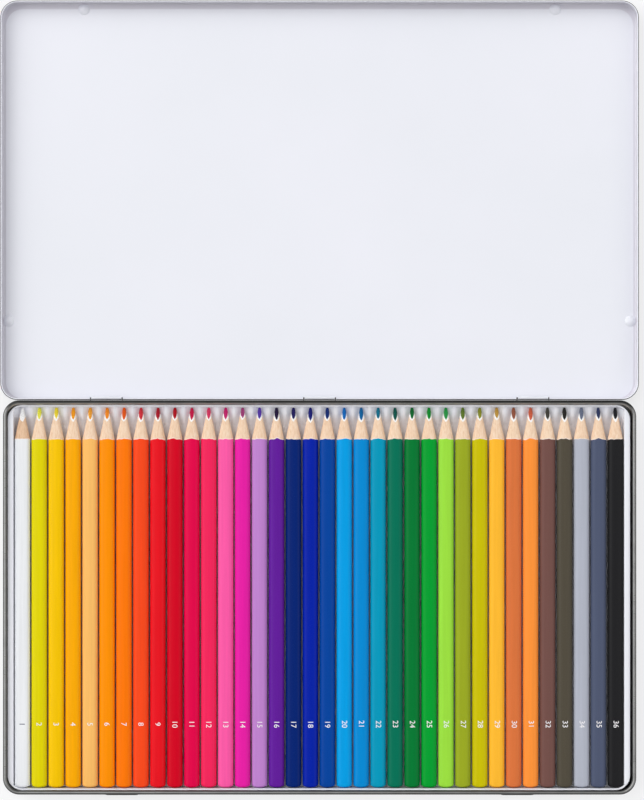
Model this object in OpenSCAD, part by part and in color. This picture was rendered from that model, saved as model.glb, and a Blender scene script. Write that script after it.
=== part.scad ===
/* [Pencils] */
// Number of pencils side by side in the tray
pencil_count = 36; // [12:1:36]
// Length of a pencil, point included
pencil_len = 175; // [150:1:190]
// Distance from a pencil's axis to the centre of each rounded corner
pencil_corner_d = 1.75; // [1.5:0.05:2]
// Radius of each rounded corner, lacquer included
pencil_corner_r = 2.1; // [1.7:0.01:2.2]
// Diameter of the lead in its protective coat
lead_d = 2.5; // [2.2:0.1:3.4]
// Glue line between the lead and the wood
glue_t = 0.03; // [0.02:0.01:0.06]
// Angle between a pencil's axis and its sharpened cone
cone_angle = 12; // [11:0.5:18]
// Length of the three facets that flatten the cone
facet_len = 14.6; // [10:0.1:18]
// Diameter of the blunt point
point_d = 0.9; // [0.4:0.1:1]
// Distance from the axis to each facet at the point
point_flat = 0.38; // [0.15:0.01:0.4]
// Radius of the dome at the dipped end
end_dome_r = 5.5; // [5:0.5:12]
// Thickness of the lacquer that closes the dipped end
end_cap_t = 0.6; // [0.4:0.1:1.2]

/* [Tray] */
// Thickness of the formed plastic sheet
tray_t = 0.4; // [0.3:0.05:0.6]
// Free space between neighbouring pencils
pencil_gap = 0.57; // [0.4:0.01:1.4]
// Gap between a pencil's lowest corner and its channel
channel_gap = 0.15; // [0.1:0.05:0.6]
// Height of the round ridges between the channels
ridge_h = 1.7; // [0.8:0.1:1.8]
// Flats that follow the curve of one channel
channel_steps = 8; // [6:2:12]
// Height of the side ledges above the pencils' axes
ledge_rise = 0.1; // [-1:0.01:1]
// Gap at each end of a pencil that lies in the middle of its channel
pencil_end_gap = 0.3; // [0.2:0.05:1]
// How far the loose pencils have slid in their channels, towards the back
pencil_slide = -0.2; // [-0.2:0.05:0.2]
// Width of the flat ledge at each side of the tray
ledge_w = 2.3; // [1.5:0.1:8]
// Height of the end walls above the side ledges
end_rise = 3.2; // [0:0.1:3.4]
// Height of the channels above the tin's floor
tray_foot_h = 3.15; // [1:0.05:6]
// How much larger the tray's corner radius is than that of the bead around it
corner_ease = 0.7; // [0.6:0.1:2]
// How far the loose tray lies from the middle of the tin, towards the right
tray_shift_x = -0.35; // [-0.35:0.05:0.35]
// How far the loose tray lies from the middle of the tin, towards the back
tray_shift_y = -0.2; // [-0.25:0.05:0.25]

/* [Tin base] */
// Thickness of the tinplate
sheet_t = 0.3; // [0.25:0.01:0.35]
// Radius of the bead that is curled inwards round the rim
bead_r = 0.95; // [0.9:0.05:1.3]
// Corner radius of the base, seen from above
base_corner_r = 7.6; // [7.4:0.1:14]
// Outer radius between the floor and the walls
base_edge_r = 1.5; // [0.8:0.1:2]
// Gap between the tray and the bead at each side
tray_side_gap = 0.7; // [0.6:0.05:1]
// Gap between the tray and the bead at the front and at the back
tray_end_gap = 0.4; // [0.35:0.05:1]
// Height of the rim above the pencils
rim_headroom = 2.66; // [1:0.01:8]
// Distance of each catch on the front wall from the middle
catch_x = 90.8; // [60:0.1:100]
// Length of a catch
catch_len = 16; // [10:0.5:24]
// Height of a catch
catch_h = 3.4; // [2.4:0.1:3.6]
// How far a catch stands proud of the wall
catch_proud = 0.42; // [0.3:0.01:0.5]
// Distance from the rim's top to the middle of a catch
catch_drop = 2.1; // [1.8:0.1:3]

/* [Lid] */
// How far the lid's side walls stand outside the base
lid_side = 1.9; // [1.7:0.1:3]
// Gap between the catches and the hem of the closing lid
catch_gap = 0.18; // [0.1:0.01:0.6]
// Corner radius of the lid, seen from above
lid_corner_r = 7.8; // [7:0.1:9]
// Outer radius between the lid's panel and its walls
lid_edge_r = 1; // [0.7:0.1:1.5]
// Radius of the hem along the lid's edge
hem_r = 0.4; // [0.38:0.01:0.5]
// Diameter of each stop pressed into the lid's panel
stop_d = 5.8; // [4:0.1:5.8]
// Height of each stop above the panel's inner face
stop_h = 1.2; // [0.8:0.1:1.6]
// Gap between the stops and the rim of the closed tin
stop_gap = 0.1; // [0.05:0.05:0.4]
// Distance of each stop's edge from the lid's outer face
stop_inset = 0.1; // [0.1:0.05:0.4]
// Distance of each front stop from the middle
front_stop_x = 109.3; // [80:0.1:120]
// Distance of each side stop from the lid's back wall
side_stop_y = 36.6; // [25:0.1:60]

/* [Hinges] */
// Number of hinges along the back
hinge_count = 3; // [2:1:4]
// Distance between neighbouring hinges
hinge_pitch = 98.3; // [50:0.1:100]
// Width of each tongue that is curled on the lid
tongue_w = 14; // [8:0.5:20]
// Radius of the bar that each tongue turns on
hinge_bar_r = 0.4; // [0.35:0.01:0.5]
// Running clearance between a tongue and its bar
hinge_clearance = 0.1; // [0.05:0.01:0.15]
// Gap between a tongue and the base's back wall
hinge_gap = 0.15; // [0.1:0.01:0.3]
// Thickness of the two legs that carry each bar
leg_t = 0.4; // [0.3:0.05:0.6]
// Gap at each side of a leg
leg_gap = 0.15; // [0.1:0.01:0.3]
// Depth of the slits beside each tongue
slit_depth = 1.5; // [1.3:0.1:2]
// Angle over which each curl stays open
curl_open_angle = 110; // [80:5:120]

/* [Colours] */
enamel_colour = "#e9ebf3";
tinplate_colour = "#a9a8a6";
tray_colour = "#f1f2f8";

/* [Hidden] */
$fn = 48;
// Overlap of shapes that are cut away beyond a face
cut = 1;
// Margin by which envelopes stand outside what they trim
margin = 0.3;
// Length over which the joined parts of a formed sheet overlap
lap = 1;

// The pencils from left to right: name and lacquer colour
PENCILS = [
    ["white", "#f2f2f0"],
    ["lemon", "#ded800"],
    ["yellow", "#f5cf00"],
    ["sun_yellow", "#fab000"],
    ["peach", "#f9bd67"],
    ["light_orange", "#ff9800"],
    ["orange", "#ff7a0a"],
    ["vermilion", "#fc4c20"],
    ["scarlet", "#ee1626"],
    ["crimson", "#d00228"],
    ["raspberry", "#e2044e"],
    ["coral", "#fb3561"],
    ["rose", "#fb5aa0"],
    ["magenta", "#e9089c"],
    ["lilac", "#c487d2"],
    ["violet", "#631b98"],
    ["navy", "#061f74"],
    ["ultramarine", "#0430b4"],
    ["cobalt", "#0653a8"],
    ["sky_blue", "#05a2f0"],
    ["azure", "#0490e2"],
    ["turquoise", "#06a0c0"],
    ["sea_green", "#047a62"],
    ["leaf_green", "#058438"],
    ["green", "#04a238"],
    ["lime", "#96e232"],
    ["olive", "#98aa24"],
    ["mustard", "#cfc60a"],
    ["ochre", "#fdb32a"],
    ["terracotta", "#e06a36"],
    ["amber", "#fb8c2c"],
    ["brown", "#74504c"],
    ["umber", "#423e2e"],
    ["grey", "#b0b4c6"],
    ["slate", "#4a5070"],
    ["black", "#262626"]
];

// Pencil section: its width, and the distance from the axis to a flat and to a corner
pencil_w = 2 * (pencil_corner_d * cos(30) + pencil_corner_r);
pencil_flat = pencil_corner_d * sin(30) + pencil_corner_r;
pencil_reach = pencil_corner_d + pencil_corner_r;
cone_len = (pencil_reach + margin - point_d / 2) / tan(cone_angle);
facet_slope = (pencil_flat - point_flat) / facet_len;
pitch = pencil_w + pencil_gap;

// Heights above the surface that the tin lies on
channel_z = sheet_t + tray_foot_h;
axis_z = channel_z + tray_t + channel_gap + pencil_reach;
deck_z = axis_z + ledge_rise;
base_h = axis_z + pencil_flat + rim_headroom;
lid_h = (base_h + stop_gap + stop_h + sheet_t) / 2;

// Plan sizes, from the pencils outwards
channels_w = pencil_count * pitch;
tray_w = channels_w + 2 * ledge_w;
tray_d = pencil_len + 2 * (pencil_end_gap + tray_t);
tray_corner_r = base_corner_r - 2 * bead_r + corner_ease;
base_w = tray_w + 2 * tray_side_gap + 4 * bead_r;
base_d = tray_d + 2 * tray_end_gap + 4 * bead_r;

// Hinge axis, outside the base's back wall and level with the open lid's edge
curl_inner_r = hinge_bar_r + hinge_clearance;
curl_r = curl_inner_r + sheet_t;
hinge_y = base_d / 2 + hinge_gap + curl_r;
hinge_z = lid_h;
slit_w = leg_t + 2 * leg_gap;
lid_front = 2 * hem_r + catch_proud + catch_gap;
lid_back = hinge_gap + 2 * curl_r;
lid_w = base_w + 2 * lid_side;
lid_d = base_d + lid_front + lid_back;
lid_y = base_d / 2 + hinge_gap + lid_d / 2;
// The stops lie close to the walls, so that they meet the bead when the lid is closed
stop_in = stop_d / 2 + stop_inset;

// A rounded rectangle
module rounded_rect(w, d, r) {
    square([w - 2 * r, d], center = true);
    square([w, d - 2 * r], center = true);
    for (x = [-1, 1], y = [-1, 1])
        translate([x * (w / 2 - r), y * (d / 2 - r)]) circle(r);
}

// Runs a profile round a rounded rectangle: the profile's x is 0 on the outside and negative inwards
module run_round(w, d, r) {
    for (side = [0, 1]) rotate([0, 0, 180 * side]) {
        translate([w / 2, d / 2 - r, 0]) rotate([90, 0, 0]) linear_extrude(d - 2 * r) children();
        translate([-w / 2 + r, d / 2, 0]) rotate([90, 0, 90]) linear_extrude(w - 2 * r) children();
        translate([w / 2 - r, d / 2 - r, 0])
            rotate_extrude(angle = 90) translate([r, 0]) children();
        translate([-w / 2 + r, d / 2 - r, 0])
            rotate([0, 0, 90]) rotate_extrude(angle = 90) translate([r, 0]) children();
    }
}

// A quarter ring of sheet from the floor up to a wall
module edge_turn(r) {
    translate([-r, r]) intersection() {
        difference() {
            circle(r);
            circle(r - sheet_t);
        }
        translate([0, -r]) square([r, r]);
    }
}

// A wall of sheet that ends in a curl towards the inside
module wall_profile(h, edge_r, curl) {
    edge_turn(edge_r);
    translate([-sheet_t, edge_r]) square([sheet_t, h - edge_r - curl]);
    translate([-curl, h - curl]) difference() {
        circle(curl);
        circle(max(curl - sheet_t, curl / 4));
        translate([-curl * sin(30), -2 * curl]) square([2 * curl, 2 * curl]);
    }
}

// An open pan of sheet: a floor, an edge radius, a wall and its curl
module pan(w, d, corner_r, h, edge_r, curl) {
    linear_extrude(sheet_t) rounded_rect(w - 2 * edge_r, d - 2 * edge_r, corner_r - edge_r);
    run_round(w, d, corner_r) wall_profile(h, edge_r, curl);
    // Cores in the middle of the sheet, which join the runs of the profile and the floor
    core_t = sheet_t / 3;
    translate([0, 0, core_t]) linear_extrude(core_t)
        rounded_rect(w - 2 * edge_r + 2 * core_t, d - 2 * edge_r + 2 * core_t, corner_r - edge_r + core_t);
    translate([0, 0, edge_r]) linear_extrude(h - edge_r - curl) difference() {
        rounded_rect(w - 2 * core_t, d - 2 * core_t, corner_r - core_t);
        rounded_rect(w - 4 * core_t, d - 4 * core_t, corner_r - 2 * core_t);
    }
}

// A long shallow bulge, centred on its chord, that stands proud towards -Y
module bulge(len, high, proud) {
    r = (pow(high / 2, 2) + pow(proud, 2)) / (2 * proud);
    straight = len - high;
    translate([0, r - proud, 0]) {
        rotate([0, 90, 0]) cylinder(r = r, h = straight, center = true);
        for (x = [-1, 1]) translate([x * straight / 2, 0, 0]) sphere(r);
    }
}

// The part of a bulge in front of the wall's plane, within its own reach
module proud_part(len, high, depth) {
    translate([-len / 2 - margin, -depth, -high / 2 - margin])
        cube([len + 2 * margin, depth, high + 2 * margin]);
}

// The places of the two catches on the front wall
module at_catches() {
    for (x = [-catch_x, catch_x]) translate([x, -base_d / 2, base_h - catch_drop]) children();
}

// The places of the hinges along the back
module at_hinges() {
    for (i = [0 : hinge_count - 1])
        translate([(i - (hinge_count - 1) / 2) * hinge_pitch, hinge_y, hinge_z]) children();
}

// A bar on two legs that are folded out of the base's back wall
module hinge_bar() {
    reach = tongue_w / 2 + leg_gap + leg_t;
    rotate([0, 90, 0]) cylinder(r = hinge_bar_r, h = 2 * reach, center = true);
    for (x = [-reach, reach - leg_t])
        translate([x, -curl_r - hinge_gap - sheet_t, -hinge_bar_r])
            cube([leg_t, curl_r + hinge_gap + sheet_t, 2 * hinge_bar_r]);
}

module base_shell() {
    color(tinplate_colour) difference() {
        union() {
            pan(base_w, base_d, base_corner_r, base_h, base_edge_r, bead_r);
            at_catches() intersection() {
                bulge(catch_len, catch_h, catch_proud);
                proud_part(catch_len, catch_h, 2 * catch_proud);
            }
            at_hinges() hinge_bar();
        }
        // The window that each bar's metal leaves in the wall
        at_hinges() translate([-tongue_w / 2, -curl_r - hinge_gap - 2 * sheet_t, -curl_r])
            cube([tongue_w, 3 * sheet_t, 2 * curl_r]);
    }
}

// A dome whose cap stands on the plane z = 0
module dome(d, h) {
    r = (pow(d / 2, 2) + pow(h, 2)) / (2 * h);
    intersection() {
        translate([0, 0, h - r]) sphere(r);
        cylinder(r = d / 2 + margin, h = h + margin);
    }
}

// The places of the four stops on the open lid's panel
module at_stops() {
    for (x = [-front_stop_x, front_stop_x])
        translate([x, lid_d / 2 - stop_in, 0]) children();
    for (x = [-1, 1])
        translate([x * (lid_w / 2 - stop_in), -lid_d / 2 + side_stop_y, 0]) children();
}

// A tongue curled round the hinge axis, drawn across the axis with the lid open
module tongue_profile() {
    translate([-curl_r, -slit_depth - lap]) square([sheet_t, slit_depth + lap]);
    difference() {
        circle(curl_r);
        circle(curl_inner_r);
        rotate(180) polygon([
            [0, 0],
            [2 * curl_r, 0],
            [2 * curl_r, 2 * curl_r],
            [2 * curl_r * cos(curl_open_angle), 2 * curl_r]
        ]);
    }
}

module lid_shell() {
    color(enamel_colour) {
        difference() {
            translate([0, lid_y, 0]) {
                pan(lid_w, lid_d, lid_corner_r, lid_h, lid_edge_r, hem_r);
                at_stops() dome(stop_d, stop_h + sheet_t);
            }
            translate([0, lid_y, 0]) at_stops()
                translate([0, 0, -margin]) dome(stop_d - 2 * sheet_t, stop_h + margin);
            // Slits on both sides of each tongue, through the wall and its hem
            at_hinges() translate([-tongue_w / 2 - slit_w, -curl_r - cut, -slit_depth])
                cube([tongue_w + 2 * slit_w, 2 * hem_r + cut + margin, slit_depth + cut]);
        }
        at_hinges() rotate([90, 0, 90])
            linear_extrude(tongue_w, center = true) tongue_profile();
    }
}

// Height of the channels' underside at a distance from the first channel's left edge
function wave_z(x) = channel_z + ridge_h / 2 * (1 + cos(360 * x / pitch));

// The corrugated sheet between the ledges, drawn from left to right and back underneath
module channels_profile() {
    half = channels_w / 2;
    end = half + 2 * tray_t;
    step = pitch / channel_steps;
    under = [for (x = [0 : step : channels_w + step / 2]) [x - half, wave_z(x)]];
    polygon(concat(
        [[-end, deck_z], [-half, deck_z]],
        [for (p = under) p + [0, tray_t]],
        [[half, deck_z], [end, deck_z], [end, deck_z - tray_t], [half + tray_t, deck_z - tray_t]],
        [[half + tray_t, wave_z(0)]],
        [for (k = [len(under) - 1 : -1 : 0]) under[k]],
        [[-half - tray_t, wave_z(0)], [-half - tray_t, deck_z - tray_t], [-end, deck_z - tray_t]]
    ));
}

module pencil_tray() {
    inner_d = tray_d - 2 * tray_t;
    color(tray_colour) translate([tray_shift_x, tray_shift_y, 0]) {
        // Channels between the end walls, trimmed within the skirt at the tray's corners
        intersection() {
            translate([0, inner_d / 2, 0]) rotate([90, 0, 0])
                linear_extrude(inner_d) channels_profile();
            linear_extrude(base_h)
                rounded_rect(tray_w - tray_t, tray_d - tray_t, tray_corner_r - tray_t / 2);
        }
        translate([0, 0, deck_z - tray_t]) linear_extrude(tray_t) difference() {
            rounded_rect(tray_w, tray_d, tray_corner_r);
            square([channels_w, inner_d], center = true);
        }
        // Skirt that stands on the tin's floor, with end walls that rise towards the rim
        difference() {
            translate([0, 0, sheet_t]) linear_extrude(deck_z + end_rise - sheet_t) difference() {
                rounded_rect(tray_w, tray_d, tray_corner_r);
                rounded_rect(tray_w - 2 * tray_t, inner_d, tray_corner_r - tray_t);
            }
            for (side = [-1, 1])
                translate([side * (channels_w + tray_w) / 2, 0, deck_z + end_rise / 2 + cut])
                    cube([tray_w, 2 * tray_d, end_rise + 2 * cut], center = true);
        }
    }
}

// A pencil's section: a rounded triangle with its corners at 90, 210 and 330 degrees
module pencil_section() {
    for (a = [90, 210, 330])
        translate([pencil_corner_d * cos(a), pencil_corner_d * sin(a)]) circle(pencil_corner_r);
    polygon([for (a = [90, 210, 330], side = [-60, 60]) [
        pencil_corner_d * cos(a) + pencil_corner_r * cos(a + side),
        pencil_corner_d * sin(a) + pencil_corner_r * sin(a + side)
    ]]);
}

// The turned outline of a pencil: domed end, clear body and sharpened cone
module turned_outline() {
    r = pencil_reach + margin;
    rotate_extrude() intersection() {
        polygon([
            [0, 0],
            [r, 0],
            [r, pencil_len - cone_len],
            [point_d / 2, pencil_len],
            [0, pencil_len]
        ]);
        translate([0, end_dome_r]) {
            circle(end_dome_r);
            square([r + cut, pencil_len]);
        }
    }
}

// The side of a pencil that one facet of the point slopes away from
module facet_side() {
    r = 2 * pencil_reach;
    rotate([90, 0, 0]) linear_extrude(2 * r, center = true) polygon([
        [-r, -cut],
        [r, -cut],
        [r, pencil_len - (r - point_flat) / facet_slope],
        [point_flat, pencil_len],
        [point_flat, pencil_len + cut],
        [-r, pencil_len + cut]
    ]);
}

// The room that a finished pencil fills, apart from its section
module pencil_envelope() {
    intersection() {
        turned_outline();
        rotate(30) facet_side();
        rotate(150) facet_side();
        rotate(270) facet_side();
    }
}

// One pencil along +Z from its dipped end: a lacquered casing and the lead glued into its bore
module pencil(paint) {
    color(paint) difference() {
        intersection() {
            linear_extrude(pencil_len) pencil_section();
            pencil_envelope();
        }
        translate([0, 0, end_cap_t]) cylinder(d = lead_d + 2 * glue_t, h = pencil_len);
    }
    color(paint) intersection() {
        translate([0, 0, end_cap_t + glue_t]) cylinder(d = lead_d, h = pencil_len);
        pencil_envelope();
    }
}

// A pencil in its channel, with its point towards the hinges
module placed_pencil(i) {
    translate([
        tray_shift_x + (i - (pencil_count - 1) / 2) * pitch,
        tray_shift_y + pencil_slide - pencil_len / 2,
        axis_z
    ]) rotate([-90, 0, 0]) pencil(PENCILS[i][1]);
}

base_shell();
lid_shell();
pencil_tray();
for (i = [0 : pencil_count - 1])
    placed_pencil(i);
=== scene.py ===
"""The looks of a colored pencil tin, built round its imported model. Lengths are in metres."""

import math

import bmesh
import bpy
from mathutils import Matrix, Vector, noise


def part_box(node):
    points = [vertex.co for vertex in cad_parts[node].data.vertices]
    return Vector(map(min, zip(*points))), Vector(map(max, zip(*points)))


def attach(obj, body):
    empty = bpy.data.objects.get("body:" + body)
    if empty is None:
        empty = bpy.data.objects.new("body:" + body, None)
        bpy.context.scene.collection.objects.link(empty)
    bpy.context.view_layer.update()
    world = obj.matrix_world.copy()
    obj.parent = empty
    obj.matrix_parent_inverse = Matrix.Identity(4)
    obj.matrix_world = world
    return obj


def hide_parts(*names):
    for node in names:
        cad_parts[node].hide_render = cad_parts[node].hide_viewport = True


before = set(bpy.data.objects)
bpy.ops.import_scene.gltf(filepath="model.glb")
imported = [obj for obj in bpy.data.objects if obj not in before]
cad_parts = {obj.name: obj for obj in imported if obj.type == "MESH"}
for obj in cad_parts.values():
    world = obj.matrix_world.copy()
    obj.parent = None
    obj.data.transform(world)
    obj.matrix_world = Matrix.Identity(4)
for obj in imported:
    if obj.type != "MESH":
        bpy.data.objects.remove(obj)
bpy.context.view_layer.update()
scene = bpy.context.scene
scene.view_settings.view_transform = "Standard"
MM = 0.001

# ---------------------------------------------------------------- camera
# The camera looks straight down, a little to the right of the middle hinge
CAMERA_X = 1.1 * MM
CAMERA_Y = 90.6 * MM
CAMERA_HEIGHT = 1150 * MM
CLIP_END = 10
SENSOR = 36.0
# The view's longer side in pixels, and one pixel in millimetres at the height of the tin's rims
LONG_SIDE = 800
PIXEL = 0.4610
VIEW_LEVEL = 7.5 * MM
VIEW_LENGTH = LONG_SIDE * PIXEL * MM

camera_data = bpy.data.cameras.new("camera")
camera_data.sensor_width = SENSOR
camera_data.lens = SENSOR * (CAMERA_HEIGHT - VIEW_LEVEL) / VIEW_LENGTH
camera_data.clip_end = CLIP_END
camera = bpy.data.objects.new("camera", camera_data)
camera.location = (CAMERA_X, CAMERA_Y, CAMERA_HEIGHT)
scene.collection.objects.link(camera)
scene.camera = camera

# ---------------------------------------------------------------- colours
# One lacquer colour per pencil, from left to right, as 8-bit display values
LACQUERS = {
    "white": (238, 240, 243),
    "lemon": (226, 212, 2),
    "yellow": (246, 196, 0),
    "sun_yellow": (250, 170, 0),
    "peach": (250, 188, 102),
    "light_orange": (255, 145, 0),
    "orange": (254, 120, 4),
    "vermilion": (248, 74, 28),
    "scarlet": (233, 20, 33),
    "crimson": (212, 2, 34),
    "raspberry": (228, 2, 74),
    "coral": (243, 38, 92),
    "rose": (250, 90, 166),
    "magenta": (231, 30, 164),
    "lilac": (190, 130, 205),
    "violet": (98, 28, 154),
    "navy": (2, 36, 114),
    "ultramarine": (2, 34, 166),
    "cobalt": (2, 68, 158),
    "sky_blue": (2, 158, 228),
    "azure": (2, 138, 211),
    "turquoise": (2, 152, 187),
    "sea_green": (2, 114, 87),
    "leaf_green": (2, 121, 52),
    "green": (2, 159, 50),
    "lime": (156, 223, 65),
    "olive": (154, 169, 35),
    "mustard": (202, 190, 3),
    "ochre": (254, 186, 50),
    "terracotta": (218, 116, 62),
    "amber": (252, 147, 58),
    "brown": (115, 80, 74),
    "umber": (82, 76, 64),
    "grey": (177, 181, 194),
    "slate": (80, 88, 112),
    "black": (34, 34, 36),
}
# Leads are a little darker than their lacquer, apart from these
LEAD_SHADE = 0.88
LEADS = {
    "white": (251, 251, 252),
    "lemon": (230, 226, 72),
    "yellow": (238, 214, 58),
    "sun_yellow": (242, 152, 24),
    "peach": (242, 160, 52),
    "light_orange": (244, 138, 34),
    "orange": (232, 88, 16),
    "vermilion": (206, 44, 56),
    "scarlet": (170, 14, 38),
    "crimson": (178, 6, 28),
    "raspberry": (196, 14, 70),
    "coral": (216, 50, 96),
    "rose": (196, 30, 108),
    "magenta": (160, 62, 120),
    "lilac": (84, 54, 164),
    "violet": (30, 14, 56),
    "navy": (30, 24, 92),
    "ultramarine": (24, 28, 118),
    "cobalt": (18, 46, 116),
    "sky_blue": (8, 104, 186),
    "azure": (4, 100, 160),
    "turquoise": (8, 112, 140),
    "sea_green": (4, 84, 74),
    "lime": (40, 150, 70),
    "olive": (92, 118, 40),
    "mustard": (136, 140, 40),
    "ochre": (190, 148, 64),
    "terracotta": (146, 84, 62),
    "amber": (204, 94, 66),
    "brown": (66, 64, 58),
    "umber": (36, 34, 32),
    "grey": (104, 112, 134),
    "slate": (48, 58, 96),
    "black": (28, 28, 34),
}


def linear(rgb):
    """Scene-linear colour of an 8-bit display colour."""
    parts = [c / 255 for c in rgb]
    return [p / 12.92 if p <= 0.04045 else ((p + 0.055) / 1.055) ** 2.4 for p in parts]


# ---------------------------------------------------------------- materials
RANGE_SOCKETS = ("From Min", "From Max", "To Min", "To Max")


class Nodes:
    """Short calls to build one material's node tree."""

    def __init__(self, name):
        self.material = bpy.data.materials.new(name)
        self.material.use_nodes = True
        self.tree = self.material.node_tree
        self.shader = self.tree.nodes["Principled BSDF"]

    def add(self, kind, **values):
        node = self.tree.nodes.new(kind)
        for key, value in values.items():
            setattr(node, key, value)
        return node

    def link(self, source, target):
        self.tree.links.new(source, target)

    def place(self, scale=(1, 1, 1)):
        """Coordinates in metres on the object, stretched by scale."""
        where = self.add("ShaderNodeTexCoord")
        mapping = self.add("ShaderNodeMapping")
        mapping.inputs["Scale"].default_value = scale
        self.link(where.outputs["Object"], mapping.inputs["Vector"])
        return mapping.outputs["Vector"]

    def axes(self):
        """The three coordinates of a point on the object, in metres."""
        split = self.add("ShaderNodeSeparateXYZ")
        self.link(self.place(), split.inputs["Vector"])
        return split.outputs

    def noise(self, scale, detail=3, stretch=(1, 1, 1), roughness=0.5):
        """Noise with about scale spots to a metre."""
        node = self.add("ShaderNodeTexNoise")
        node.inputs["Scale"].default_value = scale
        node.inputs["Detail"].default_value = detail
        node.inputs["Roughness"].default_value = roughness
        self.link(self.place(stretch), node.inputs["Vector"])
        return node.outputs["Fac"]

    def ramp(self, factor, stops):
        """A colour ramp over (position, 8-bit colour) stops."""
        node = self.add("ShaderNodeValToRGB")
        ends = node.color_ramp.elements
        while len(ends) < len(stops):
            ends.new(0.5)
        for end, (position, rgb) in zip(ends, stops):
            end.position = position
            end.color = linear(rgb) + [1]
        self.link(factor, node.inputs["Fac"])
        return node.outputs["Color"]

    def span(self, factor, low, high, start=0.3, stop=0.7):
        """factor, from start to stop, mapped to low to high."""
        node = self.add("ShaderNodeMapRange")
        for name, value in zip(RANGE_SOCKETS, (start, stop, low, high)):
            node.inputs[name].default_value = value
        self.link(factor, node.inputs["Value"])
        return node.outputs["Result"]

    def bump(self, height, distance, strength):
        """A bump on the shader itself."""
        node = self.add("ShaderNodeBump")
        node.inputs["Distance"].default_value = distance
        node.inputs["Strength"].default_value = strength
        self.link(height, node.inputs["Height"])
        self.link(node.outputs["Normal"], self.shader.inputs["Normal"])

    def mix(self, factor, first, second):
        """The first colour where factor is 0 and the second where it is 1."""
        node = self.add("ShaderNodeMix", data_type="RGBA")
        self.link(factor, node.inputs["Factor"])
        self.link(first, node.inputs["A"])
        self.link(second, node.inputs["B"])
        return node.outputs["Result"]

    def math(self, operation, first, second=0.0):
        """One sum with two values, each a socket or a number."""
        node = self.add("ShaderNodeMath", operation=operation)
        for value, target in zip((first, second), node.inputs):
            if isinstance(value, (int, float)):
                target.default_value = value
            else:
                self.link(value, target)
        return node.outputs["Value"]

    def corner(self, first, second):
        """Length of a pair of offsets, with negative ones taken as zero."""
        first, second = self.math("MAXIMUM", first), self.math("MAXIMUM", second)
        squares = (self.math("MULTIPLY", first, first), self.math("MULTIPLY", second, second))
        return self.math("SQRT", self.math("ADD", *squares))

    def colour(self, socket):
        self.link(socket, self.shader.inputs["Base Color"])

    def set(self, **values):
        """Constants on the shader's own sockets."""
        for key, value in values.items():
            self.shader.inputs[key.replace("_", " ")].default_value = value


def shade(rgb, gain):
    """An 8-bit colour made darker or lighter."""
    return tuple(min(255, c * gain) for c in rgb)


def lacquer(name, rgb):
    """Glossy pencil lacquer: a thick clear colour with slight runs along the pencil."""
    n = Nodes("lacquer_" + name)
    runs = n.noise(900, detail=2, stretch=(1, 0.03, 1))
    n.colour(n.ramp(runs, [(0.3, shade(rgb, 0.98)), (0.7, shade(rgb, 1.01))]))
    n.link(n.span(n.noise(2500, detail=2), 0.2, 0.3), n.shader.inputs["Roughness"])
    n.set(Specular_IOR_Level=0.08)
    n.bump(runs, distance=0.00002, strength=0.25)
    return n.material


def lead(name, rgb):
    """Waxy pigment of a sharpened lead, with fine turning marks and paler chips."""
    n = Nodes("lead_" + name)
    marks = n.noise(5200, detail=4, stretch=(0.5, 1.4, 0.5))
    n.colour(n.ramp(marks, [(0.3, shade(rgb, 0.8)), (0.55, rgb), (0.72, shade(rgb, 1.25))]))
    n.link(n.span(marks, 0.4, 0.6), n.shader.inputs["Roughness"])
    n.set(Specular_IOR_Level=0.12)
    n.bump(marks, distance=0.00002, strength=0.5)
    return n.material


def wood(name, dark, middle, pale):
    """Sharpened wood: fine grain along the pencil, with pinker and yellower boards."""
    n = Nodes(name)
    grain = n.noise(1900, detail=6, stretch=(1, 0.09, 1), roughness=0.7)
    fine = n.ramp(grain, [(0.28, dark), (0.5, middle), (0.72, pale)])
    boards = n.span(n.noise(45, detail=1, stretch=(1, 0.4, 1)), 0.0, 0.45)
    n.colour(n.mix(boards, fine, n.ramp(grain, [(0.3, (226, 184, 146)), (0.7, (246, 216, 192))])))
    n.set(Roughness=0.7, Specular_IOR_Level=0.25)
    n.bump(grain, distance=0.00004, strength=0.6)
    return n.material


def plain(name, scale, stops, roughness):
    """A matt or satin material with a little unevenness in its colour."""
    n = Nodes(name)
    n.colour(n.ramp(n.noise(scale), stops))
    n.set(Roughness=roughness)
    return n.material


def foil_print(name, rgb):
    """Foil print on the lacquer."""
    return plain(name, 4000, [(0.3, shade(rgb, 0.9)), (0.6, rgb)], 0.4)


# ---------------------------------------------------------------- the tin
# The tin's own sizes, as in the part
SHEET_T = 0.3 * MM
BASE_HALF = Vector((145.32, 90.5, 0)) * MM
BASE_CORNER_R = 7.6 * MM
BEAD_R = 0.95 * MM
LID_HALF = Vector((147.22, 92.075, 0)) * MM
LID_H = 7.5425 * MM
LID_CORNER_R = 7.8 * MM
LID_EDGE_R = 1.0 * MM
HEM_R = 0.4 * MM
# Painted reflection and shade across the rolled rim, from its outer side (0) to just inside it (1), on
# the tin's plain grey: the dark outer side is a painted dark reflection and the dark band inside the
# crest is painted shade
PAINTED_RIM_SHADE_AND_REFLECTION = ((0.0, 56), (0.15, 66), (0.28, 142), (0.5, 144), (0.68, 90), (0.8, 88), (1.0, 140))
# At the hinge side the painted reflection is turned round: dark over the outer half and the crest, with
# a painted highlight on the inner half
PAINTED_BACK_RIM_REFLECTION = ((0.0, 74), (0.16, 48), (0.42, 66), (0.6, 170), (0.8, 216), (1.0, 216))
RIM_WIDTH = 2.5 * BEAD_R
# The back's painted reflection takes over from the rim's between these distances from the base's back
BACK_FROM, BACK_TO = 5 * MM, 2.5 * MM
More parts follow.
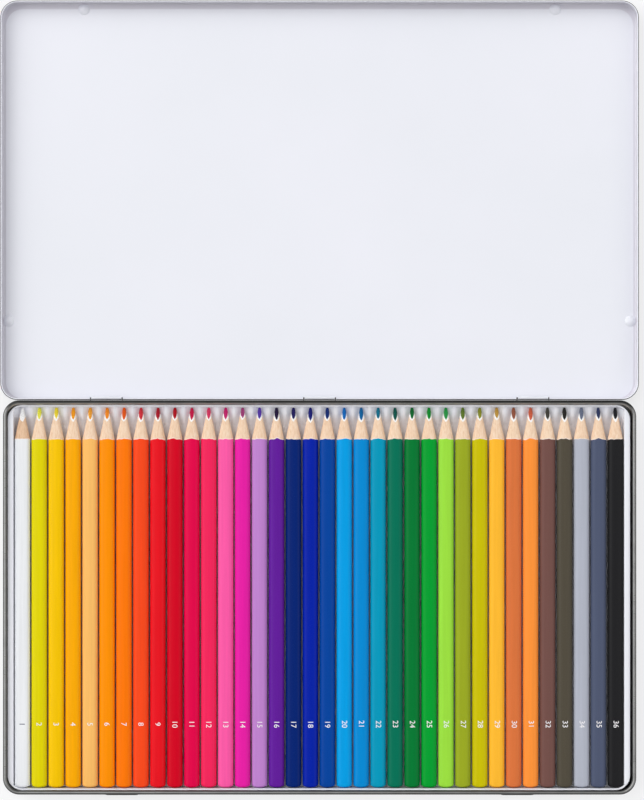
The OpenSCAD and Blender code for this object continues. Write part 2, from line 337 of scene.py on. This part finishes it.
# Dark and pale tones of the bare tin, of the hem's edge with its painted dark reflection, of the enamel
# and of the enamelled walls with their painted shade
TIN_DARK, TIN_PALE = (142, 142, 140), (150, 150, 149)
PAINTED_HEM_REFLECTION_DARK, PAINTED_HEM_REFLECTION_PALE = (40, 41, 44), (56, 57, 60)
ENAMEL_DARK, ENAMEL_PALE = (234, 236, 243), (238, 239, 247)
SHADED_WALL_DARK, SHADED_WALL_PALE = (215, 213, 222), (221, 219, 228)
# The hem is bare to this depth, which is reached between two distances from the lid's edge
HEM_BARE = 0.35 * MM
HEM_FROM, HEM_TO = 0.9 * MM, 0.6 * MM
# Reach of the painted shade on the turn at the foot of the lid's walls: at the sides, at the front edge
# and at the hinges
FOOT_SIDE, FOOT_FRONT, FOOT_HINGE = 1.75 * MM, 2.9 * MM, 0.6 * MM
# The walls end between these distances in from the lid's outline
WALL_FROM, WALL_TO = 0.8 * MM, 1.0 * MM
# A face is an underside where its normal's height is below these values
UNDER_FROM, UNDER_TO = -0.2, -0.1
# Half the width over which one finish turns into another
CUT, SEAM, SOFT_SEAM = 0.02 * MM, 0.1 * MM, 0.15 * MM
SCUFF_SCALE = 160


def inward(n, x, y, middle, half, corner_r):
    """Distance in from the tin's rounded outline, seen from above."""
    across, along = (
        n.math("SUBTRACT", n.math("ABSOLUTE", n.math("SUBTRACT", value, centre)), reach - corner_r)
        for value, centre, reach in ((x, middle.x, half.x), (y, middle.y, half.y)))
    nearest = n.math("MINIMUM", n.math("MAXIMUM", across, along))
    return n.math("SUBTRACT", corner_r, n.math("ADD", n.corner(across, along), nearest))


def tinplate(high):
    """Bare satin tinplate with the mill's fine lines and light scuffs, and a rim with painted
    reflection and shade on its sides.
    """
    n = Nodes("tinplate")
    x, y, z = n.axes()
    # Below the rim, the tin has the tone of the rim's top
    below = n.span(z, BEAD_R, 0.0, high.z - 2.4 * BEAD_R, high.z - 2 * BEAD_R)
    across = n.math("MAXIMUM", inward(n, x, y, Vector(), BASE_HALF, BASE_CORNER_R), below)
    across = n.span(across, 0.0, 1.0, 0.0, RIM_WIDTH)
    hinge_side = n.span(y, 0.0, 1.0, BASE_HALF.y - BACK_FROM, BASE_HALF.y - BACK_TO)

    # Painted reflection and shade across the rim, turned round at the hinge side
    def painted_rim_light(gain):
        front, back = (
            n.ramp(across, [(at, shade((tone, tone, tone - 1), gain)) for at, tone in stops])
            for stops in (PAINTED_RIM_SHADE_AND_REFLECTION, PAINTED_BACK_RIM_REFLECTION))
        return n.mix(hinge_side, front, back)

    n.colour(n.mix(n.span(n.noise(SCUFF_SCALE, detail=5), 0.0, 1.0), painted_rim_light(0.95), painted_rim_light(1.05)))
    lines = n.noise(1800, detail=4, stretch=(0.03, 1, 1))
    n.link(n.span(lines, 0.26, 0.36), n.shader.inputs["Roughness"])
    n.set(Metallic=1.0)
    n.bump(lines, distance=0.000002, strength=0.25)
    return n.material


def lid_bare(n, z, distance):
    """Where the lid is bare tin, and where that is the hem's edge, which takes a painted dark
    reflection.
    """
    # Depth below the outer skin, round the turned edge as well
    depth = n.math("SUBTRACT", LID_EDGE_R, n.corner(
        n.math("SUBTRACT", LID_EDGE_R, distance), n.math("SUBTRACT", LID_EDGE_R, z)))
    # The enamel starts a little way in on the hem
    start = n.span(z, SHEET_T / 2, HEM_BARE, LID_H - HEM_FROM, LID_H - HEM_TO)
    skin_deep = n.span(n.math("SUBTRACT", start, depth), 0.0, 1.0, -CUT, CUT)
    # The hem's bare edge, which is painted dark for a dark reflection
    edge = n.span(start, 0.0, 1.0, SHEET_T / 2, HEM_BARE)
    # The stops are hollow from outside, so their undersides are bare too
    facing = n.add("ShaderNodeSeparateXYZ")
    n.link(n.add("ShaderNodeTexCoord").outputs["Normal"], facing.inputs["Vector"])
    under = n.math("MULTIPLY", n.span(facing.outputs["Z"], 1.0, 0.0, UNDER_FROM, UNDER_TO),
                   n.span(z, 1.0, 0.0, LID_H / 2, LID_H / 2 + 2 * SEAM))
    return n.math("MAXIMUM", skin_deep, under), edge


def lid_wall_shade_mask(n, x, y, z, middle, distance):
    """Where the walls and the turn at their foot take painted shade, and not the panel."""
    panel = inward(n, x, y, middle + (FOOT_HINGE - FOOT_FRONT) / 2 * Vector((0, 1, 0)),
                   LID_HALF - Vector((FOOT_SIDE, (FOOT_HINGE + FOOT_FRONT) / 2, 0)), LID_CORNER_R)
    outside = n.span(panel, 1.0, 0.0, -SOFT_SEAM, SOFT_SEAM)
    # The stops stand on the foot, and keep the panel's tone
    foot = n.math("MAXIMUM", n.span(z, 1.0, 0.0, SHEET_T, SHEET_T + SEAM / 2),
                  n.span(distance, 1.0, 0.0, WALL_FROM, WALL_TO))
    top = LID_H - 2 * HEM_R
    return n.math("MULTIPLY", n.math("MULTIPLY", outside, foot),
                  n.span(z, 1.0, 0.0, top - SEAM, top + SEAM))


def lid_finish(high):
    """The lid: white enamel inside, over a faint orange peel, with painted shade on its walls, and bare
    tinplate outside with a painted dark reflection on its hem's edge.
    """
    n = Nodes("lid_finish")
    x, y, z = n.axes()
    middle = Vector((0, high.y - LID_HALF.y, 0))
    distance = inward(n, x, y, middle, LID_HALF, LID_CORNER_R)
    bare, edge = lid_bare(n, z, distance)
    # The walls and the turn at their foot get painted shade, a little greyer than the panel and the hem
    painted_wall_shade = lid_wall_shade_mask(n, x, y, z, middle, distance)

    def tone(factor, dark, pale):
        return n.ramp(factor, [(0.3, dark), (0.7, pale)])

    patches = n.noise(9)
    white = n.mix(painted_wall_shade, tone(patches, ENAMEL_DARK, ENAMEL_PALE), tone(patches, SHADED_WALL_DARK, SHADED_WALL_PALE))
    scuffs = n.noise(SCUFF_SCALE, detail=5)
    # The hem's edge is painted near-black as a painted dark reflection
    tin = n.mix(edge, tone(scuffs, TIN_DARK, TIN_PALE), tone(scuffs, PAINTED_HEM_REFLECTION_DARK, PAINTED_HEM_REFLECTION_PALE))
    n.colour(n.mix(bare, white, tin))
    n.link(bare, n.shader.inputs["Metallic"])
    n.link(n.span(n.noise(60), 0.3, 0.4), n.shader.inputs["Roughness"])
    n.bump(n.noise(700, detail=2), distance=0.00001, strength=0.2)
    return n.material


for node, material in (
    ("base_shell", tinplate(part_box("base_shell")[1])),
    ("lid_shell", lid_finish(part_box("lid_shell")[1])),
):
    for material_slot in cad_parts[node].material_slots:
        material_slot.material = material


# ---------------------------------------------------------------- meshes
def skin(name, rows, kinds, materials, first=None, last=None):
    """A smooth piece of closed rings of points, with a material for each band.

    The first and last points, where they are given, close its ends.
    """
    count = len(rows[0])
    points = [point for row in rows for point in row]
    faces, indices = [], []
    for r in range(len(rows) - 1):
        for k in range(count):
            a, b = r * count + k, r * count + (k + 1) % count
            faces.append((a, b, b + count, a + count))
            indices.append(kinds[r])
    for point, start, kind in ((first, 0, kinds[0]), (last, (len(rows) - 1) * count, kinds[-1])):
        if point:
            for k in range(count):
                faces.append((start + k, start + (k + 1) % count, len(points)))
                indices.append(kind)
            points.append(point)
    mesh = bpy.data.meshes.new(name)
    mesh.from_pydata(points, [], faces)
    for material in materials:
        mesh.materials.append(material)
    mesh.polygons.foreach_set("material_index", indices)
    mesh.polygons.foreach_set("use_smooth", [True] * len(faces))
    mesh.update()
    work = bmesh.new()
    work.from_mesh(mesh)
    bmesh.ops.recalc_face_normals(work, faces=work.faces)
    work.to_mesh(mesh)
    work.free()
    piece = bpy.data.objects.new(name, mesh)
    scene.collection.objects.link(piece)
    return piece


# ---------------------------------------------------------------- the tray
# The tray's own sizes, as in the part
TRAY_T = 0.4 * MM
TRAY_CORNER_R = 6.4 * MM
LEDGE_W = 2.3 * MM
RIDGE_H = 1.7 * MM
CHANNEL_GAP = 0.15 * MM
# The finished tray's rim is rounded
RIM_ROUND = 0.18 * MM
ROUND_STEPS = 5
# How far the tray's rim leans out towards the tin's bead
RIM_REACH = 0.35 * MM
# The channels rise towards the tips, and their ridges are narrower than their beds
SCOOP_LEN = 9.5 * MM
SCOOP_RISE = 3.2 * MM
RIDGE_SHARPNESS = 1.7
# Height of the ridges under the pencils, as a share of their height at the tips
LOW_RIDGE = 0.35
SCOOP_STEPS = 10
WAVE_STEPS = 24
CORNER_STEPS = 12

tray_low, tray_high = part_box("pencil_tray")
tray_middle, tray_half = (tray_low + tray_high) / 2, (tray_high - tray_low) / 2
WELL_X = tray_half.x - LEDGE_W


def tray_plastic():
    """Thin formed polystyrene: cool white and smooth, with the mould's soft unevenness."""
    n = Nodes("tray_plastic")
    n.colour(n.ramp(n.noise(40), [(0.3, (243, 244, 252)), (0.7, (248, 249, 255))]))
    n.link(n.span(n.noise(300), 0.16, 0.26), n.shader.inputs["Roughness"])
    n.bump(n.noise(500, detail=2), distance=0.00001, strength=0.3)
    return n.material


def loop(inset):
    """Points round the tray's rounded outline, moved inwards."""
    points = []
    for quarter, (side_x, side_y) in enumerate(((1, 1), (-1, 1), (-1, -1), (1, -1))):
        for step in range(CORNER_STEPS + 1):
            turn = math.pi / 2 * (quarter + step / CORNER_STEPS)
            radius = TRAY_CORNER_R - inset
            points.append((side_x * (tray_half.x - TRAY_CORNER_R) + radius * math.cos(turn),
                           side_y * (tray_half.y - TRAY_CORNER_R) + radius * math.sin(turn)))
    return points


def tray_rim(material):
    """The skirt, the side ledges, the end walls and the sides of the well."""
    def row(points, z):
        return [(tray_middle.x + x, tray_middle.y + y, z) for x, y in points]

    def well(back):
        """The well's edge, moved back by the rounding."""
        limit = WELL_X + back
        return [(max(-limit, min(limit, x)), y) for x, y in loop(TRAY_T - back)]

    turns = [math.pi / (2 * ROUND_STEPS) * step for step in range(ROUND_STEPS + 1)]
    rounding = [(RIM_ROUND * (1 - math.cos(turn)), RIM_ROUND * (1 - math.sin(turn)))
                for turn in turns]
    rows = [row(loop(0), tray_low.z)]
    rows += [row(loop(inset - RIM_REACH), tray_high.z - drop) for inset, drop in rounding]
    rows += [row(well(back), tray_high.z - drop) for back, drop in reversed(rounding)]
    rows.append(row(well(0), CHANNEL_Z))
    return skin("tray_rim", rows, [0] * len(rows), [material])


def tray_channels(material):
    """The wavy sheet that the pencils lie in, trimmed within the skirt at the tray's corners."""
    count = WAVE_STEPS * len(LACQUERS)
    wave_line = [(-WELL_X - TRAY_T / 2, RIDGE_H)]
    wave_line += [(-WELL_X + 2 * WELL_X * k / count,
                   RIDGE_H * (0.5 + 0.5 * math.cos(2 * math.pi * k / WAVE_STEPS)) ** RIDGE_SHARPNESS)
                  for k in range(count + 1)]
    wave_line.append((WELL_X + TRAY_T / 2, RIDGE_H))

    def point(x, z, level, side, back):
        """A point back from the end wall at the dipped ends (side -1) or at the tips (1)."""
        into_corner = max(0, abs(x) - (tray_half.x - TRAY_CORNER_R))
        trimmed = math.sqrt((TRAY_CORNER_R - TRAY_T / 2) ** 2 - into_corner ** 2)
        y = tray_half.y - TRAY_CORNER_R + trimmed
        near = max(0, 1 - back / SCOOP_LEN) if side > 0 else 0
        near = near * near * (3 - 2 * near)
        return (tray_middle.x + x, tray_middle.y + side * (y - back),
                CHANNEL_Z + z * (LOW_RIDGE + (1 - LOW_RIDGE) * near) + level + SCOOP_RISE * near)

    scoop = [(1, SCOOP_LEN * (1 - step / SCOOP_STEPS)) for step in range(SCOOP_STEPS + 1)]
    rows = [[point(x, z, TRAY_T, *place) for x, z in wave_line]
            + [point(x, z, 0, *place) for x, z in reversed(wave_line)]
            for place in [(-1, 0)] + scoop]
    return skin("tray_channels", rows, [0] * len(rows), [material])


# ---------------------------------------------------------------- pencils
# The pencil's own sizes, as in the part: from its axis to a flat and to a corner
FLAT = 2.975 * MM
REACH = 3.85 * MM
# The rest of the sizes are those of the finished surface.
# Its section is a rounded triangle with slightly crowned flats
CORNER_D = 1.72 * MM
CORNER_R = 2.1 * MM
CROWN = math.radians(6)
CROWN_R = CORNER_D * math.sin(math.pi / 3) / math.sin(CROWN)
POINT_R = 0.55 * MM
TIP_ROUND = 0.6 * MM
# The lead and its coat end further back on the facets than at the corners
LEAD_SIDE, LEAD_MIDDLE = 2.2 * MM, 5.5 * MM
COAT_SIDE, COAT_MIDDLE = 4.2 * MM, 6.4 * MM
# The lacquer's sharpened edge, with the primer before it and a lip behind it
EDGE_AT = 14.5 * MM
EDGE_ARCH = 0.5 * MM
EDGE_WAVE = 0.36 * MM
PRIMER_LEN = 0.25 * MM
LIP = 0.03 * MM
LIP_STEPS = ((0.0, LIP), (0.05 * MM, LIP / 3), (0.2 * MM, 0.0))
# The dome of the dipped end and its depth. A higher blend gives it a sharper edge
END_DOME_R = 7.5 * MM
DOME_LEN = 2.6 * MM
DOME_BLEND = 12
# How much the bands and the arch of the edge differ from pencil to pencil
SIZE_SPREAD = 0.16
ARCH_SPREAD = 1.6
PRIMER_SPREAD = 1.2
# Each uneven line has seeds of its own
LEAD_SEED, COAT_SEED, WOOD_SEED = 40, 60, 80
WAVES_ROUND = 2.2
SEED_STEP = 7.3
# Rings of the mesh along a pencil, and the points in one
TIP_SHARES = (0.15, 0.4, 0.62, 0.8, 0.93)
BAND_STEPS = (("lead", 5), ("coat", 2), ("wood", 8), ("primer", 2))
BODY_FROM_TIP = (30 * MM, 70 * MM, 120 * MM)
BODY_FROM_END = (7 * MM, 4 * MM)
DOME_SHARES = (0.0, 0.15, 0.3, 0.42, 0.54, 0.65, 0.75, 0.84, 0.92, 0.98)
RING = 72
BANDS = ["lead", "coat", "wood", "primer", "lacquer"]
# Print: plain numbers near the dipped end
NUMBER_HEIGHT = 3.5 * MM
NUMBER_AT = 29.5 * MM
PRINT_T = 0.004 * MM


def from_corner(angle):
    """Turn from the nearest corner of the rounded triangle, which has one flat up: 0 to 60 degrees."""
    return abs((math.degrees(angle) - 270 + 60) % 120 - 60)


def body_radius(angle):
    """Distance from the axis to the rounded triangle in one direction."""
    turn = math.radians(from_corner(angle))
    arc = math.pi / 3 - CROWN
    if turn < math.atan2(CORNER_R * math.sin(arc), CORNER_D + CORNER_R * math.cos(arc)):
        return CORNER_D * math.cos(turn) + math.sqrt(CORNER_R ** 2 - (CORNER_D * math.sin(turn)) ** 2)
    turn = math.pi / 3 - turn
    centre = CROWN_R * math.cos(CROWN) - CORNER_D / 2
    reach = math.sqrt((CROWN_R + CORNER_R) ** 2 - (centre * math.sin(turn)) ** 2)
    return reach - centre * math.cos(turn)


def wave(angle, seed, size):
    """A small uneven offset round the pencil."""
    return size * noise.noise(Vector((
        math.cos(angle) * WAVES_ROUND, math.sin(angle) * WAVES_ROUND, seed * SEED_STEP)))


def drift(place, lane):
    """A value between -1 and 1 that changes from place to place."""
    return noise.noise(Vector((place, lane, 0.5)))


def band_ends(angles, seed):
    """Height behind the point, in each direction, at which each band of the cone ends."""
    facets = [from_corner(angle) / 60 for angle in angles]
    lenses = [f * (1 + 0.5 * (1 - f)) for f in facets]
    size = 1 + SIZE_SPREAD * drift(seed * 3.7, 0.5)
    arch = EDGE_ARCH * (1 + ARCH_SPREAD * drift(seed * 5.1, 4.5))

    def lens(side, middle, lens_seed):
        return [size * (side + f * (middle - side)) + wave(a, seed + lens_seed, EDGE_WAVE)
                for a, f in zip(angles, lenses)]

    edge = [EDGE_AT - arch * (f - 0.5) + wave(a, seed, EDGE_WAVE) for a, f in zip(angles, facets)]
    return {
        "lead": lens(LEAD_SIDE, LEAD_MIDDLE, LEAD_SEED),
        "coat": lens(COAT_SIDE, COAT_MIDDLE, COAT_SEED),
        "wood": [end - PRIMER_LEN * (1 + wave(a, seed + WOOD_SEED, PRIMER_SPREAD))
                 for a, end in zip(angles, edge)],
        "primer": edge,
    }


def pencil_sections(seed, length):
    """Sections of one pencil: (height behind the point, radius) for each direction, and their bands."""
    angles = [2 * math.pi * k / RING for k in range(RING)]
    ends = band_ends(angles, seed)
    sections, kinds = [], []

    def cone(k, height):
        body = body_radius(angles[k]) - LIP
        return POINT_R + (body - POINT_R) * min(1, height / ends["primer"][k])

    def add(band, section):
        sections.append(section)
        kinds.append(BANDS.index(band))

    for share in TIP_SHARES:
        height = TIP_ROUND * (1 - math.sqrt(1 - share ** 2))
        add("lead", [(height, cone(k, TIP_ROUND) * share) for k in range(RING)])
    starts = [TIP_ROUND] * RING
    for band, steps in BAND_STEPS:
        for step in range(steps):
            heights = [start + (end - start) * step / steps for start, end in zip(starts, ends[band])]
            add(band, [(height, cone(k, height)) for k, height in enumerate(heights)])
        starts = ends[band]
    # The lacquer: a lip, the clear body and the dome of the dipped end
    for past, inset in LIP_STEPS:
        add("lacquer", [(start + past, body_radius(a) - inset) for a, start in zip(angles, starts)])
    for height in BODY_FROM_TIP + tuple(length - back for back in BODY_FROM_END):
        add("lacquer", [(height, body_radius(a)) for a in angles])
    for share in DOME_SHARES:
        back = DOME_LEN * (1 - share) ** 2
        dome = math.sqrt(END_DOME_R ** 2 - (END_DOME_R - back) ** 2)
        add("lacquer", [
            (length - back, (body_radius(a) ** -DOME_BLEND + dome ** -DOME_BLEND) ** (-1 / DOME_BLEND))
            for a in angles])
    return angles, sections, kinds


def dressed_pencil(name, axis, tip_y, length, seed, materials):
    """One finished pencil, from the tip of its lead to its dipped end."""
    angles, sections, kinds = pencil_sections(seed, length)
    rows = [[(axis.x + radius * math.cos(a), tip_y - height, axis.z + radius * math.sin(a))
             for a, (height, radius) in zip(angles, section)] for section in sections]
    tip, end = (axis.x, tip_y, axis.z), (axis.x, tip_y - length, axis.z)
    return skin(name, rows, kinds, materials, tip, end)


def number_print(name, text, place, material):
    """A plain printed number on the upper flat, which reads towards the dipped end."""
    curve = bpy.data.curves.new(name, "FONT")
    curve.body = text
    curve.size = NUMBER_HEIGHT
    curve.align_x = "CENTER"
    curve.align_y = "CENTER"
    curve.extrude = PRINT_T
    curve.materials.append(material)
    piece = bpy.data.objects.new(name, curve)
    piece.location = place
    piece.rotation_euler = (0, 0, -math.pi / 2)
    scene.collection.objects.link(piece)
    return piece


# The pale undercoat along the sharpened edge of the lacquer, and the white coat round each lead
PRIMER = plain("primer", 3000, [(0.3, (238, 212, 200)), (0.7, (250, 236, 228))], 0.5)
LEAD_COAT = plain("lead_coat", 3000, [(0.3, (242, 239, 238)), (0.7, (254, 253, 252))], 0.55)
WHITE_PRINT = foil_print("white_print", (250, 248, 250))
DARK_PRINT = foil_print("dark_print", (24, 40, 84))
PALE_WOOD = wood("pale_wood", (224, 186, 152), (240, 210, 180), (248, 228, 206))
TAN_WOOD = wood("tan_wood", (206, 164, 128), (226, 188, 154), (240, 208, 176))

for number, (name, rgb) in enumerate(LACQUERS.items()):
    node = "pencil_" + name
    low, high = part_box(node)
    axis = Vector(((low.x + high.x) / 2, 0, high.z - FLAT))
    is_white = name == "white"
    bands = [lead(name, LEADS.get(name, shade(rgb, LEAD_SHADE))), LEAD_COAT,
             TAN_WOOD if is_white else PALE_WOOD, PRIMER, lacquer(name, rgb)]
    piece = dressed_pencil(node + "_dressed", axis, high.y, high.y - low.y, number, bands)
    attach(piece, node)
    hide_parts(node)
    place = (axis.x, low.y + NUMBER_AT, axis.z + body_radius(math.pi / 2) + PRINT_T)
    label = number_print("number_" + name, str(number + 1), place,
                         DARK_PRINT if is_white else WHITE_PRINT)
    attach(label, node)

TRAY_PLASTIC = tray_plastic()
CHANNEL_Z = axis.z - REACH - CHANNEL_GAP - TRAY_T
for piece in (tray_rim(TRAY_PLASTIC), tray_channels(TRAY_PLASTIC)):
    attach(piece, "tray")
    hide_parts("pencil_tray")

# ---------------------------------------------------------------- floor, light and world
FLOOR_COLOUR = (251, 251, 252)
FLOOR_GLOW = 0.72
FLOOR_REACH = 3.0
FLOOR_Z = -0.0001
floor_mesh = bpy.data.meshes.new("floor")
floor_mesh.from_pydata(
    [(side_x * FLOOR_REACH, side_y * FLOOR_REACH, FLOOR_Z)
     for side_x, side_y in ((-1, -1), (1, -1), (1, 1), (-1, 1))],
    [], [(0, 1, 2, 3)],
)
floor = bpy.data.objects.new("floor", floor_mesh)
scene.collection.objects.link(floor)
# Camera and glossy rays meet the floor's even tone, blended with the floor that takes the shadow
floor_nodes = Nodes("floor")
floor_nodes.set(Base_Color=linear(FLOOR_COLOUR) + [1], Roughness=0.9, Specular_IOR_Level=0.1)
glow = floor_nodes.add("ShaderNodeEmission")
glow.inputs["Color"].default_value = linear(FLOOR_COLOUR) + [1]
path = floor_nodes.add("ShaderNodeLightPath").outputs
seen = floor_nodes.math("ADD", path["Is Camera Ray"],
                        floor_nodes.math("ADD", path["Is Glossy Ray"], path["Is Transmission Ray"]))
share = floor_nodes.math("MULTIPLY", floor_nodes.math("MINIMUM", seen, 1.0), FLOOR_GLOW)
blend = floor_nodes.add("ShaderNodeMixShader")
surface = floor_nodes.tree.nodes["Material Output"].inputs["Surface"]
for source, target in (
    (share, blend.inputs["Fac"]),
    (floor_nodes.shader.outputs["BSDF"], blend.inputs[1]),
    (glow.outputs["Emission"], blend.inputs[2]),
    (blend.outputs["Shader"], surface),
):
    floor_nodes.link(source, target)
floor_mesh.materials.append(floor_nodes.material)

# An even studio sky with a broad soft light from the left and a weaker one from the right.
# Each light starts at a cosine of the angle to its own direction
SKY = 0.38
KEY_DIRECTION = Vector((-0.62, 0.34, 0.71)).normalized()
KEY_STRENGTH, KEY_FROM = 2.2, 0.66
FILL_DIRECTION = Vector((0.72, 0.06, 0.69)).normalized()
FILL_STRENGTH, FILL_FROM = 0.9, 0.74
world = bpy.data.worlds.new("world")
scene.world = world
world.use_nodes = True
sky = world.node_tree
background = sky.nodes["Background"]
directions = sky.nodes.new("ShaderNodeTexCoord")


def soft_light(direction, start, low, high):
    """A smooth rise of light towards a direction, from low to high."""
    facing = sky.nodes.new("ShaderNodeVectorMath")
    facing.operation = "DOT_PRODUCT"
    facing.inputs[1].default_value = direction
    sky.links.new(directions.outputs["Generated"], facing.inputs[0])
    rise = sky.nodes.new("ShaderNodeMapRange")
    rise.interpolation_type = "SMOOTHSTEP"
    for name, value in zip(RANGE_SOCKETS, (start, 1.0, low, high)):
        rise.inputs[name].default_value = value
    sky.links.new(facing.outputs["Value"], rise.inputs["Value"])
    return rise.outputs["Result"]


total = sky.nodes.new("ShaderNodeMath")
total.operation = "ADD"
sky.links.new(soft_light(KEY_DIRECTION, KEY_FROM, SKY, SKY + KEY_STRENGTH), total.inputs[0])
sky.links.new(soft_light(FILL_DIRECTION, FILL_FROM, 0.0, FILL_STRENGTH), total.inputs[1])
sky.links.new(total.outputs["Value"], background.inputs["Strength"])
background.inputs["Color"].default_value = (1, 1, 1, 1)
